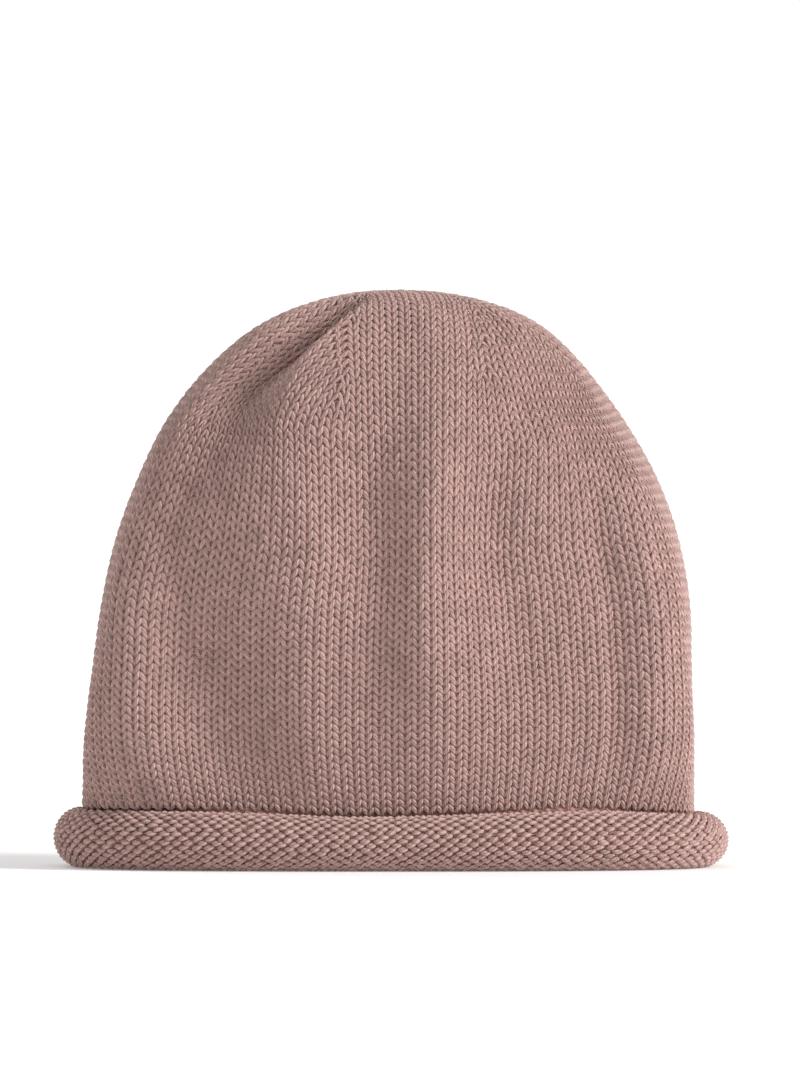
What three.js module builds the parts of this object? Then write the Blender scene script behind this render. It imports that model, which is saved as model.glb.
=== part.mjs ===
// A knitted wool hat: a soft crown whose lower edge curls outwards into a thick round roll.
// Millimetres, +Z up. The front of the hat faces -Y. The origin is on the surface that the hat
// stands on, below the middle of the brim.
import * as THREE from "three";

// Driving sizes
const KNIT_THICKNESS = 3.2; // plain knitting with both faces of the yarn
const ROLL_GAP = 0.3; // between the crown's lower edge and the start of the roll
const ROLL_TOP_Z = 20.3; // the roll's start, where the roll has its usual height
const ROLL_CENTRE_Z = 9.75; // less than the outer radius, so the roll rests on a flat strip
const ROLL_CENTRE_OUT = 0.4; // the roll's centre, outwards from the crown's outer face
const ROLL_SHIFT_X = 1.0; // the roll sits this much further to +X than the crown's foot

// How finely the soft shapes are cut into facets
const FRONT_STEPS = 42;
const BACK_STEPS = 26;
const CROWN_EVENNESS = 0.65; // 1 spaces the steps evenly by angle; less puts more at the two ends
const CROWN_RINGS = 27;
const ROLL_RING_STEPS = 54;
const ROLL_EVENNESS = 0.55;
const ROLL_SECTION_STEPS = 19;

// The crown's level sections, from its foot to the closed top. halfWidth and middle are the front
// view's outline; front and back are how far the section reaches along Y. squareness 2 is an oval.
const SECTIONS = [
  { z: 20.6, halfWidth: 104.4, middle: -1.0, front: -46.0, back: 46.0, squareness: 2.8 },
  { z: 43.0, halfWidth: 103.8, middle: -0.5, front: -49.5, back: 49.0, squareness: 3.3 },
  { z: 66.0, halfWidth: 102.2, middle: 0.3, front: -52.5, back: 52.0, squareness: 3.5 },
  { z: 90.0, halfWidth: 100.2, middle: 1.6, front: -55.0, back: 55.3, squareness: 3.4 },
  { z: 112.0, halfWidth: 95.9, middle: 2.1, front: -55.5, back: 57.4, squareness: 3.0 },
  { z: 132.0, halfWidth: 88.8, middle: 2.2, front: -54.0, back: 56.8, squareness: 2.6 },
  { z: 150.0, halfWidth: 79.5, middle: 1.5, front: -50.0, back: 54.0, squareness: 2.4 },
  { z: 165.0, halfWidth: 68.9, middle: 1.6, front: -44.0, back: 50.0, squareness: 2.25 },
  { z: 177.0, halfWidth: 57.8, middle: 2.3, front: -37.0, back: 45.0, squareness: 2.15 },
  { z: 186.0, halfWidth: 45.9, middle: 3.1, front: -30.0, back: 39.5, squareness: 2.05 },
  { z: 192.0, halfWidth: 32.0, middle: 3.2, front: -23.0, back: 33.0, squareness: 2.0 },
  { z: 195.6, halfWidth: 16.5, middle: 2.8, front: -12.5, back: 23.0, squareness: 2.0 },
  { z: 196.8, halfWidth: 0.0, middle: 2.5, front: 4.0, back: 4.0, squareness: 2.0 },
];

// The height at which the crown rises from the roll, by the direction seen from above: the front
// runs from 180 degrees at its left, seen from the front, to 360 at its right.
const ROLL_HEIGHTS = [
  { degrees: 0, height: 19.3 },
  { degrees: 60, height: 20.6 },
  { degrees: 120, height: 20.2 },
  { degrees: 180, height: 21.3 },
  { degrees: 213, height: 21.3 },
  { degrees: 252, height: 19.7 },
  { degrees: 290, height: 20.2 },
  { degrees: 313, height: 21.0 },
  { degrees: 330, height: 21.6 },
  { degrees: 345, height: 20.0 },
  { degrees: 360, height: 19.3 },
];

// Soft folds, as lines down the crown from top to foot. Each row says where the line is and how far
// the knitting stands out there (less than 0 in a hollow); between lines the surface blends.
const FRONT_FOLDS = {
  leftSwell: [
    { z: 192, x: -31, rise: 0 },
    { z: 172, x: -56, rise: 0.5 },
    { z: 157, x: -67, rise: 3 },
    { z: 142, x: -75, rise: 5 },
    { z: 125, x: -84, rise: 3.5 },
    { z: 108, x: -91, rise: 3 },
    { z: 91, x: -92, rise: 3.5 },
    { z: 74, x: -93, rise: 3.5 },
    { z: 57, x: -93, rise: 4.5 },
    { z: 40, x: -92, rise: 4.5 },
    { z: 20, x: -90, rise: 2.5 },
  ],
  crownCreaseAndHollow: [
    { z: 196, x: -10, rise: 0 },
    { z: 191, x: -20, rise: -8.5 },
    { z: 184, x: -30, rise: -10.5 },
    { z: 172, x: -43, rise: -9 },
    { z: 157, x: -52, rise: -4.2 },
    { z: 142, x: -58, rise: -0.8 },
    { z: 125, x: -68, rise: -1.5 },
    { z: 108, x: -73, rise: -4 },
    { z: 91, x: -71, rise: -6 },
    { z: 74, x: -67, rise: -7.5 },
    { z: 57, x: -61, rise: -6.5 },
    { z: 40, x: -55, rise: -4.8 },
    { z: 20, x: -49, rise: -0.8 },
  ],
  leftRidge: [
    { z: 196, x: -2, rise: 0 },
    { z: 186, x: -14, rise: 1 },
    { z: 172, x: -27, rise: 2 },
    { z: 157, x: -34, rise: 1.5 },
    { z: 142, x: -38, rise: 1 },
    { z: 125, x: -32, rise: 1.4 },
    { z: 108, x: -28, rise: 1.4 },
    { z: 91, x: -28, rise: 2.2 },
    { z: 74, x: -26, rise: 1.8 },
    { z: 57, x: -26, rise: 1 },
    { z: 40, x: -22, rise: 0.5 },
    { z: 20, x: -20, rise: 0 },
  ],
  centreHollow: [
    { z: 196, x: 4, rise: 0 },
    { z: 186, x: 2, rise: -0.6 },
    { z: 172, x: 1, rise: -1 },
    { z: 157, x: -1, rise: -1.4 },
    { z: 142, x: -6, rise: -2.6 },
    { z: 125, x: -7, rise: -3.2 },
    { z: 108, x: -5, rise: -2.2 },
    { z: 91, x: -5, rise: -0.2 },
    { z: 74, x: -7, rise: 0.6 },
    { z: 57, x: -8, rise: -0.2 },
    { z: 20, x: -8, rise: 0.2 },
  ],
  centreRidge: [
    { z: 196, x: 10, rise: 0 },
    { z: 186, x: 14, rise: 0.8 },
    { z: 172, x: 20, rise: 1.6 },
    { z: 157, x: 20, rise: 2.2 },
    { z: 142, x: 16, rise: 2.4 },
    { z: 125, x: 14, rise: 2.8 },
    { z: 108, x: 13, rise: 3.8 },
    { z: 91, x: 12, rise: 5 },
    { z: 74, x: 12, rise: 5 },
    { z: 57, x: 13, rise: 2.8 },
    { z: 40, x: 14, rise: 1 },
    { z: 20, x: 18, rise: 0.2 },
  ],
  rightHollow: [
    { z: 196, x: 22, rise: 0 },
    { z: 190, x: 33, rise: -1.6 },
    { z: 176, x: 36, rise: 0 },
    { z: 157, x: 36, rise: 0.4 },
    { z: 142, x: 38, rise: -2 },
    { z: 125, x: 37, rise: -5.5 },
    { z: 108, x: 38, rise: -7 },
    { z: 91, x: 41, rise: -6.5 },
    { z: 74, x: 47, rise: -6 },
    { z: 57, x: 49, rise: -4.2 },
    { z: 40, x: 47, rise: -2.6 },
    { z: 20, x: 52, rise: -0.4 },
  ],
  rightRidge: [
    { z: 196, x: 26, rise: 0 },
    { z: 188, x: 39, rise: 0.3 },
    { z: 172, x: 50, rise: 0 },
    { z: 157, x: 50, rise: -0.4 },
    { z: 142, x: 50, rise: -0.8 },
    { z: 125, x: 52, rise: -3 },
    { z: 108, x: 52, rise: -6.2 },
    { z: 91, x: 54, rise: -6 },
    { z: 74, x: 60, rise: -5.6 },
    { z: 57, x: 62, rise: -4 },
    { z: 40, x: 62, rise: -3 },
    { z: 20, x: 62, rise: -0.4 },
  ],
  sideHollow: [
    { z: 192, x: 33, rise: 0 },
    { z: 172, x: 57, rise: -0.6 },
    { z: 157, x: 62, rise: -0.6 },
    { z: 142, x: 65, rise: -1.2 },
    { z: 125, x: 68, rise: -3 },
    { z: 108, x: 72, rise: -5.5 },
    { z: 91, x: 74, rise: -5 },
    { z: 74, x: 75, rise: -4.6 },
    { z: 57, x: 75, rise: -3.2 },
    { z: 40, x: 74, rise: -2.6 },
    { z: 20, x: 70, rise: 0 },
  ],
  rightSwell: [
    { z: 192, x: 38, rise: 0 },
    { z: 172, x: 63, rise: 0 },
    { z: 157, x: 71, rise: 0.5 },
    { z: 142, x: 79, rise: 1.5 },
    { z: 125, x: 84, rise: 3 },
    { z: 108, x: 87, rise: 3.2 },
    { z: 91, x: 91, rise: 2.8 },
    { z: 74, x: 92, rise: 3.2 },
    { z: 57, x: 92, rise: 4 },
    { z: 40, x: 92, rise: 4 },
    { z: 20, x: 88, rise: 0.8 },
  ],
};

const BACK_FOLDS = {
  outerLeft: [
    { z: 190, x: -34, rise: 0 },
    { z: 150, x: -70, rise: 0 },
    { z: 90, x: -80, rise: 1.5 },
    { z: 20, x: -82, rise: 0.5 },
  ],
  leftHollow: [
    { z: 190, x: -20, rise: -0.5 },
    { z: 165, x: -34, rise: -4 },
    { z: 110, x: -46, rise: -3.5 },
    { z: 60, x: -50, rise: -3 },
    { z: 20, x: -50, rise: -0.5 },
  ],
  leftRidge: [
    { z: 190, x: -4, rise: 0.5 },
    { z: 150, x: -16, rise: 2.5 },
    { z: 90, x: -20, rise: 2 },
    { z: 20, x: -24, rise: 0.5 },
  ],
  middleHollow: [
    { z: 190, x: 6, rise: 0 },
    { z: 150, x: 6, rise: -1.5 },
    { z: 90, x: 4, rise: -2 },
    { z: 20, x: 2, rise: 0 },
  ],
  rightRidge: [
    { z: 190, x: 16, rise: 0.5 },
    { z: 150, x: 26, rise: 2.5 },
    { z: 90, x: 30, rise: 2.5 },
    { z: 20, x: 28, rise: 0.5 },
  ],
  rightHollow: [
    { z: 190, x: 28, rise: -1 },
    { z: 160, x: 46, rise: -4 },
    { z: 100, x: 56, rise: -3.5 },
    { z: 50, x: 54, rise: -3 },
    { z: 20, x: 54, rise: -0.5 },
  ],
  outerRight: [
    { z: 190, x: 38, rise: 0 },
    { z: 150, x: 72, rise: 0 },
    { z: 90, x: 82, rise: 1.5 },
    { z: 20, x: 84, rise: 0.5 },
  ],
};

// The roll seen in section: the knitting's middle line as a radius that shrinks while it turns.
// It leaves the crown's foot, runs round inside, below and outside, and ends inside itself.
const ROLL_TURNS = [
  { degrees: 101, radius: 10.75 },
  { degrees: 125, radius: 9.7 },
  { degrees: 150, radius: 8.75 },
  { degrees: 180, radius: 8.6 },
  { degrees: 420, radius: 8.6 },
  { degrees: 442, radius: 8.15 },
  { degrees: 461, radius: 7.1 },
  { degrees: 485, radius: 6.0 },
  { degrees: 510, radius: 5.0 },
  { degrees: 600, radius: 4.2 },
];

const WOOL = new THREE.MeshStandardMaterial({ color: 0xb39088, roughness: 0.95, metalness: 0 });
const WOOL_REVERSE = new THREE.MeshStandardMaterial({ color: 0xad8a82, roughness: 0.95, metalness: 0 });

// A Catmull-Rom blend of one column between table rows, at position 0 to rows - 1.
function smoothColumn(table, column, position) {
  const last = table.length - 1;
  const row = Math.min(Math.floor(position), last - 1);
  const t = position - row;
  const at = (i) => table[THREE.MathUtils.clamp(i, 0, last)][column];
  const [before, from, to, after] = [at(row - 1), at(row), at(row + 1), at(row + 2)];
  const curve = 2 * before - 5 * from + 4 * to - after;
  const twist = 3 * (from - to) + after - before;
  return from + 0.5 * t * (to - before + t * (curve + t * twist));
}

// The same kind of blend for a table whose key column is unevenly spaced, looked up by that key.
function smoothByKey(table, key, column, value) {
  const rows = table[table.length - 1][key] > table[0][key] ? table : [...table].reverse();
  const last = rows.length - 1;
  if (value <= rows[0][key]) return rows[0][column];
  if (value >= rows[last][key]) return rows[last][column];
  const i = rows.findIndex((row) => row[key] > value) - 1;
  const slope = (k) => {
    const [low, high] = [rows[Math.max(k - 1, 0)], rows[Math.min(k + 1, last)]];
    return (high[column] - low[column]) / (high[key] - low[key]);
  };
  const span = rows[i + 1][key] - rows[i][key];
  const t = (value - rows[i][key]) / span;
  const [from, to] = [rows[i][column], rows[i + 1][column]];
  const eased = t * t * (3 - 2 * t);
  const leaving = span * slope(i) * t * (1 - t) * (1 - t);
  const arriving = span * slope(i + 1) * t * t * (1 - t);
  return THREE.MathUtils.lerp(from, to, eased) + leaving - arriving;
}

// How high the roll is in a direction seen from above.
function rollHeight(azimuth) {
  const degrees = THREE.MathUtils.euclideanModulo(THREE.MathUtils.radToDeg(azimuth), 360);
  return smoothByKey(ROLL_HEIGHTS, "degrees", "height", degrees);
}

// The crown without its folds. level runs from 0 at the foot to SECTIONS.length - 1 at the top, and
// azimuth is anticlockwise seen from above, from +X.
function plainCrownPoint(azimuth, level) {
  const section = {};
  for (const column of ["z", "halfWidth", "middle", "front", "back", "squareness"])
    section[column] = smoothColumn(SECTIONS, column, level);
  const halfWidth = Math.max(section.halfWidth, 0);
  const halfDepth = Math.max((section.back - section.front) / 2, 0);
  if (halfWidth < 1e-6 || halfDepth < 1e-6)
    return new THREE.Vector3(section.middle, (section.front + section.back) / 2, section.z);
  const n = section.squareness;
  const across = Math.pow(Math.abs(Math.cos(azimuth)) / halfWidth, n);
  const along = Math.pow(Math.abs(Math.sin(azimuth)) / halfDepth, n);
  const radius = Math.pow(across + along, -1 / n);
  return new THREE.Vector3(
    section.middle + radius * Math.cos(azimuth),
    (section.front + section.back) / 2 + radius * Math.sin(azimuth),
    section.z + (rollHeight(azimuth) - SECTIONS[0].z) * Math.max(1 - level, 0) ** 2,
  );
}

// Outward normal of a surface given as point(azimuth, level), by small steps either way.
function normalOf(point, azimuth, level) {
  const step = 0.01;
  const top = SECTIONS.length - 1;
  const round = point(azimuth + step, level).sub(point(azimuth - step, level));
  const up = point(azimuth, Math.min(level + step, top)).sub(point(azimuth, Math.max(level - step, 0)));
  const normal = round.cross(up);
  return normal.lengthSq() < 1e-12 ? new THREE.Vector3(0, 0, 1) : normal.normalize();
}

// How far the folds push the crown in or out at a point of its plain surface.
function foldRise(point, normal) {
  const folds = normal.y < 0 ? FRONT_FOLDS : BACK_FOLDS;
  const shown = THREE.MathUtils.smoothstep(Math.abs(normal.y), 0.1, 0.6);
  if (shown === 0) return 0;
  const lines = Object.values(folds).map((line) => ({
    x: smoothByKey(line, "z", "x", point.z),
    rise: smoothByKey(line, "z", "rise", point.z),
  }));
  const right = lines.findIndex((line) => line.x > point.x);
  if (right === 0) return shown * lines[0].rise;
  if (right === -1) return shown * lines[lines.length - 1].rise;
  const [from, to] = [lines[right - 1], lines[right]];
  const share = THREE.MathUtils.smoothstep(point.x, from.x, to.x);
  return shown * THREE.MathUtils.lerp(from.rise, to.rise, share);
}

function crownPoint(azimuth, level) {
  const point = plainCrownPoint(azimuth, level);
  if (level > SECTIONS.length - 1 - 1e-6) return point;
  const normal = normalOf(plainCrownPoint, azimuth, level);
  return point.clone().addScaledVector(normal, foldRise(point, normal));
}

function innerCrownPoint(azimuth, level) {
  const normal = normalOf(crownPoint, azimuth, level);
  if (level === 0) normal.setZ(0).normalize(); // the lower edge stays level
  return crownPoint(azimuth, level).addScaledVector(normal, -KNIT_THICKNESS);
}

// A closed surface through rings of points. With closed ends the first and last rings are single
// points; otherwise the last ring joins the first, as in a tyre.
function loft(rings, endsArePoints) {
  const positions = rings.flat().flatMap((p) => [p.x, p.y, p.z]);
  const index = [];
  const starts = [];
  let count = 0;
  for (const ring of rings) {
    starts.push(count);
    count += ring.length;
  }
  const bands = endsArePoints ? rings.length - 1 : rings.length;
  for (let i = 0; i < bands; i++) {
    const [low, high] = [rings[i], rings[(i + 1) % rings.length]];
    const [a, b] = [starts[i], starts[(i + 1) % rings.length]];
    const around = Math.max(low.length, high.length);
    for (let k = 0; k < around; k++) {
      const next = (k + 1) % around;
      if (high.length === 1) index.push(a + k, a + next, b);
      else if (low.length === 1) index.push(a, b + next, b + k);
      else index.push(a + k, a + next, b + next, a + k, b + next, b + k);
    }
  }
  const geometry = new THREE.BufferGeometry();
  geometry.setAttribute("position", new THREE.Float32BufferAttribute(positions, 3));
  geometry.setIndex(index);
  geometry.computeVertexNormals();
  return geometry;
}

// Azimuths for equal steps t, drawn towards the hat's two narrow ends.
function spreadAzimuth(t, evenness) {
  return Math.atan2(evenness * Math.sin(t), Math.cos(t));
}

// The crown's azimuths are closer together on the front, where the folds show.
function crownAzimuths() {
  const front = Array.from({ length: FRONT_STEPS }, (_, i) => Math.PI * (1 + i / FRONT_STEPS));
  const back = Array.from({ length: BACK_STEPS }, (_, i) => Math.PI * (2 + i / BACK_STEPS));
  return [...front, ...back].map((t) => spreadAzimuth(t, CROWN_EVENNESS));
}

// Levels evenly spaced along the side of the crown, from the foot to the top.
function crownLevels() {
  const samples = Array.from({ length: 400 }, (_, i) => (i / 399) * (SECTIONS.length - 1));
  const lengths = [0];
  for (let i = 1; i < samples.length; i++) {
    const step = plainCrownPoint(0, samples[i]).distanceTo(plainCrownPoint(0, samples[i - 1]));
    lengths.push(lengths[i - 1] + step);
  }
  const total = lengths[lengths.length - 1];
  return Array.from({ length: CROWN_RINGS + 1 }, (_, i) => {
    const wanted = (total * i) / CROWN_RINGS;
    const found = lengths.findIndex((length) => length >= wanted - 1e-9);
    return samples[found];
  });
}

// The knitted dome: an inner and an outer face, joined by the level lower edge.
function crown() {
  const azimuths = crownAzimuths();
  const levels = crownLevels();
  const top = SECTIONS.length - 1;
  const pole = crownPoint(0, top);
  const outer = levels.slice(0, -1).map((level) => azimuths.map((a) => crownPoint(a, level)));
  const inner = levels.slice(0, -1).map((level) => azimuths.map((a) => innerCrownPoint(a, level)));
  const innerPole = pole.clone().setZ(pole.z - KNIT_THICKNESS);
  const mesh = new THREE.Mesh(loft([[innerPole], ...inner.reverse(), ...outer, [pole]], true), WOOL);
  mesh.name = "crown";
  return mesh;
}

// The spiral section of the roll as a closed loop of [outwards, up] pairs, flat where it rests.
function rollSection() {
  const first = ROLL_TURNS[0].degrees;
  const last = ROLL_TURNS[ROLL_TURNS.length - 1].degrees;
  const side = (offset) =>
    Array.from({ length: ROLL_SECTION_STEPS + 1 }, (_, i) => {
      const degrees = THREE.MathUtils.lerp(first, last, i / ROLL_SECTION_STEPS);
      const radius = smoothByKey(ROLL_TURNS, "degrees", "radius", degrees) + offset;
      const angle = THREE.MathUtils.degToRad(degrees);
      const up = ROLL_CENTRE_Z + radius * Math.sin(angle);
      return [ROLL_CENTRE_OUT + radius * Math.cos(angle), THREE.MathUtils.clamp(up, 0, ROLL_TOP_Z)];
    });
  const half = KNIT_THICKNESS / 2;
  return [...side(-half), ...side(half).reverse()];
}

// The rolled edge: the section carried round the crown's foot, square to it and as high as there.
function rolledBrim() {
  const section = rollSection();
  const rings = Array.from({ length: ROLL_RING_STEPS }, (_, i) => {
    const azimuth = spreadAzimuth((2 * Math.PI * i) / ROLL_RING_STEPS, ROLL_EVENNESS);
    const foot = plainCrownPoint(azimuth, 0);
    foot.x += ROLL_SHIFT_X;
    const out = normalOf(plainCrownPoint, azimuth, 0).setZ(0).normalize();
    const swell = (rollHeight(azimuth) - ROLL_GAP) / ROLL_TOP_Z;
    return section.map(([outwards, up]) =>
      foot.clone().addScaledVector(out, outwards).setZ(up * swell),
    );
  });
  const mesh = new THREE.Mesh(loft(rings, false), WOOL_REVERSE);
  mesh.name = "rolled_brim";
  return mesh;
}

const hat = new THREE.Group();
hat.add(crown(), rolledBrim());

export default hat;
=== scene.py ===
import bpy
import math
import numpy as np
from mathutils import Matrix, Vector


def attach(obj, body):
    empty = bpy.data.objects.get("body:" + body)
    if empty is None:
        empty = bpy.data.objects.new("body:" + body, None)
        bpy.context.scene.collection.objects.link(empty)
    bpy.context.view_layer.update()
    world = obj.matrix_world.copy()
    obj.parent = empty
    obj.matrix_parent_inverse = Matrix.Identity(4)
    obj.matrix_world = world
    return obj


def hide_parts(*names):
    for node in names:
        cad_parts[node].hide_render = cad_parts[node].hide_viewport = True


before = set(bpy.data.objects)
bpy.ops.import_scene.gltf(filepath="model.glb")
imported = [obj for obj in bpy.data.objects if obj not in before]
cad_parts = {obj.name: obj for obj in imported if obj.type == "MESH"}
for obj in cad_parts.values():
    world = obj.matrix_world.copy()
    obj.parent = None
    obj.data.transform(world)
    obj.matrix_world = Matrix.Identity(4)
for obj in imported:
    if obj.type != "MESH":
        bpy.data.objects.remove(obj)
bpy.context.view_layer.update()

# The crown's knitted ground. One tube of plain wool knitting, 124 stitches round, closed at the
# top and worn smooth side out. This is the dense middle of that knitting: the yarn that shows through
# between the stitches outside, and the bumpy reverse side that faces the head inside.

# level sections in mm: height, half width, middle, front, back, squareness
CROWN_SECTIONS = np.array([
    (20.6, 104.4, -1.0, -46.0, 46.0, 2.8),
    (43.0, 103.8, -0.5, -49.5, 49.0, 3.3),
    (66.0, 102.2, 0.3, -52.5, 52.0, 3.5),
    (90.0, 100.2, 1.6, -55.0, 55.3, 3.4),
    (112.0, 95.9, 2.1, -55.5, 57.4, 3.0),
    (132.0, 88.8, 2.2, -54.0, 56.8, 2.6),
    (150.0, 79.5, 1.5, -50.0, 54.0, 2.4),
    (165.0, 68.9, 1.6, -44.0, 50.0, 2.25),
    (177.0, 57.8, 2.3, -37.0, 45.0, 2.15),
    (186.0, 45.9, 3.1, -30.0, 39.5, 2.05),
    (192.0, 32.0, 3.2, -23.0, 33.0, 2.0),
    (195.6, 16.5, 2.8, -12.5, 23.0, 2.0),
    (196.8, 0.0, 2.5, 4.0, 4.0, 2.0),
])

# how high the roll is, by direction in degrees
ROLL_HEIGHTS = np.array([
    (0, 19.3), (60, 20.6), (120, 20.2), (180, 21.3), (213, 21.3), (252, 19.7), (290, 20.2),
    (313, 21.0), (330, 21.6), (345, 20.0), (360, 19.3),
])

# folds in mm, each line from top to foot: height, sideways place, how far it stands out
FRONT_FOLDS = [
    [(192, -31, 0), (172, -56, 0.5), (157, -67, 3), (142, -75, 5), (125, -84, 3.5), (108, -91, 3),
     (91, -92, 3.5), (74, -93, 3.5), (57, -93, 4.5), (40, -92, 4.5), (20, -90, 2.5)],
    [(196, -10, 0), (191, -20, -8.5), (184, -30, -10.5), (172, -43, -9), (157, -52, -4.2),
     (142, -58, -0.8), (125, -68, -1.5), (108, -73, -4), (91, -71, -6), (74, -67, -7.5), (57, -61, -6.5),
     (40, -55, -4.8), (20, -49, -0.8)],
    [(196, -2, 0), (186, -14, 1), (172, -27, 2), (157, -34, 1.5), (142, -38, 1), (125, -32, 1.4),
     (108, -28, 1.4), (91, -28, 2.2), (74, -26, 1.8), (57, -26, 1), (40, -22, 0.5), (20, -20, 0)],
    [(196, 4, 0), (186, 2, -0.6), (172, 1, -1), (157, -1, -1.4), (142, -6, -2.6), (125, -7, -3.2),
     (108, -5, -2.2), (91, -5, -0.2), (74, -7, 0.6), (57, -8, -0.2), (20, -8, 0.2)],
    [(196, 10, 0), (186, 14, 0.8), (172, 20, 1.6), (157, 20, 2.2), (142, 16, 2.4), (125, 14, 2.8),
     (108, 13, 3.8), (91, 12, 5), (74, 12, 5), (57, 13, 2.8), (40, 14, 1), (20, 18, 0.2)],
    [(196, 22, 0), (190, 33, -1.6), (176, 36, 0), (157, 36, 0.4), (142, 38, -2), (125, 37, -5.5),
     (108, 38, -7), (91, 41, -6.5), (74, 47, -6), (57, 49, -4.2), (40, 47, -2.6), (20, 52, -0.4)],
    [(196, 26, 0), (188, 39, 0.3), (172, 50, 0), (157, 50, -0.4), (142, 50, -0.8), (125, 52, -3),
     (108, 52, -6.2), (91, 54, -6), (74, 60, -5.6), (57, 62, -4), (40, 62, -3), (20, 62, -0.4)],
    [(192, 33, 0), (172, 57, -0.6), (157, 62, -0.6), (142, 65, -1.2), (125, 68, -3), (108, 72, -5.5),
     (91, 74, -5), (74, 75, -4.6), (57, 75, -3.2), (40, 74, -2.6), (20, 70, 0)],
    [(192, 38, 0), (172, 63, 0), (157, 71, 0.5), (142, 79, 1.5), (125, 84, 3), (108, 87, 3.2),
     (91, 91, 2.8), (74, 92, 3.2), (57, 92, 4), (40, 92, 4), (20, 88, 0.8)],
]
BACK_FOLDS = [
    [(190, -34, 0), (150, -70, 0), (90, -80, 1.5), (20, -82, 0.5)],
    [(190, -20, -0.5), (165, -34, -4), (110, -46, -3.5), (60, -50, -3), (20, -50, -0.5)],
    [(190, -4, 0.5), (150, -16, 2.5), (90, -20, 2), (20, -24, 0.5)],
    [(190, 6, 0), (150, 6, -1.5), (90, 4, -2), (20, 2, 0)],
    [(190, 16, 0.5), (150, 26, 2.5), (90, 30, 2.5), (20, 28, 0.5)],
    [(190, 28, -1), (160, 46, -4), (100, 56, -3.5), (50, 54, -3), (20, 54, -0.5)],
    [(190, 38, 0), (150, 72, 0), (90, 82, 1.5), (20, 84, 0.5)],
]
TOP_LEVEL = len(CROWN_SECTIONS) - 1
KNIT_THICKNESS = 3.2
GROUND_DEPTH = 1.25  # mm that the ground lies under the tops of the stitches


def smooth_rows(column, position):
    """A Catmull-Rom blend through evenly numbered rows."""
    last = len(column) - 1
    row = np.clip(np.floor(position).astype(int), 0, last - 1)
    t = position - row
    before, start = column[np.clip(row - 1, 0, last)], column[row]
    end, after = column[row + 1], column[np.clip(row + 2, 0, last)]
    return start + 0.5 * t * (end - before + t * (2 * before - 5 * start + 4 * end - after
                              + t * (3 * (start - end) + after - before)))


def smooth_keyed(keys, column, value):
    """The same kind of blend through rows whose keys are unevenly spaced."""
    keys, column = np.asarray(keys, float), np.asarray(column, float)
    if keys[-1] < keys[0]:
        keys, column = keys[::-1], column[::-1]
    last = len(keys) - 1
    value = np.clip(value, keys[0], keys[-1])
    low = np.maximum(np.arange(last + 1) - 1, 0)
    high = np.minimum(np.arange(last + 1) + 1, last)
    slope = (column[high] - column[low]) / (keys[high] - keys[low])
    i = np.clip(np.searchsorted(keys, value, side="right") - 1, 0, last - 1)
    span = keys[i + 1] - keys[i]
    t = (value - keys[i]) / span
    eased = t * t * (3 - 2 * t)
    blend = column[i] + (column[i + 1] - column[i]) * eased
    return blend + span * (slope[i] * t * (1 - t) ** 2 - slope[i + 1] * t * t * (1 - t))


def smooth_step(value, low, high):
    t = np.clip((value - low) / (high - low), 0, 1)
    return t * t * (3 - 2 * t)


def roll_height(azimuth):
    return smooth_keyed(ROLL_HEIGHTS[:, 0], ROLL_HEIGHTS[:, 1], np.degrees(azimuth) % 360)


def plain_crown(azimuth, level):
    """Points of the crown without its folds, in mm."""
    z, half_width, middle, front, back, squareness = (
        smooth_rows(CROWN_SECTIONS[:, c], level) for c in range(6))
    half_width = np.maximum(half_width, 1e-6)
    half_depth = np.maximum((back - front) / 2, 1e-6)
    across = (np.abs(np.cos(azimuth)) / half_width) ** squareness
    along = (np.abs(np.sin(azimuth)) / half_depth) ** squareness
    radius = (across + along) ** (-1 / squareness)
    lift = (roll_height(azimuth) - CROWN_SECTIONS[0, 0]) * np.maximum(1 - level, 0) ** 2
    return np.stack([middle + radius * np.cos(azimuth), (front + back) / 2 + radius * np.sin(azimuth),
                     z + lift], axis=-1)


def unit(vectors):
    return vectors / np.maximum(np.linalg.norm(vectors, axis=-1, keepdims=True), 1e-12)


def surface_normal(surface, azimuth, level):
    step = 0.01
    around = surface(azimuth + step, level) - surface(azimuth - step, level)
    up = surface(azimuth, np.minimum(level + step, TOP_LEVEL)) - surface(azimuth, level - step)
    return unit(np.cross(around, up))


def fold_rise(point, normal):
    """How far the folds push the knitting out at points of the plain crown."""
    rise = np.zeros(point.shape[:-1])
    for folds, side in ((FRONT_FOLDS, normal[..., 1] < 0), (BACK_FOLDS, normal[..., 1] >= 0)):
        lines = [np.array(line, float) for line in folds]
        xs = np.stack([smooth_keyed(line[:, 0], line[:, 1], point[..., 2]) for line in lines])
        rises = np.stack([smooth_keyed(line[:, 0], line[:, 2], point[..., 2]) for line in lines])
        found = np.where(point[..., 0] < xs[0], rises[0], rises[-1])
        for a in range(len(lines) - 1):
            between = (point[..., 0] >= xs[a]) & (point[..., 0] < xs[a + 1])
            share = smooth_step(point[..., 0], xs[a], np.maximum(xs[a + 1], xs[a] + 1e-6))
            found = np.where(between, rises[a] + (rises[a + 1] - rises[a]) * share, found)
        rise = np.where(side, found, rise)
    return rise * smooth_step(np.abs(normal[..., 1]), 0.1, 0.6)


def crown_surface(azimuth, level):
    """Points of the crown's outer face, at the tops of the stitches, in mm."""
    azimuth, level = np.broadcast_arrays(np.asarray(azimuth, float), np.asarray(level, float))
    point = plain_crown(azimuth, level)
    normal = surface_normal(plain_crown, azimuth, level)
    normal = np.where((level > TOP_LEVEL - 0.02)[..., None], np.array([0.0, 0.0, 1.0]), normal)
    return point + normal * fold_rise(point, normal)[..., None]


def crown_normal(azimuth, level):
    return surface_normal(crown_surface, azimuth, level)


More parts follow.
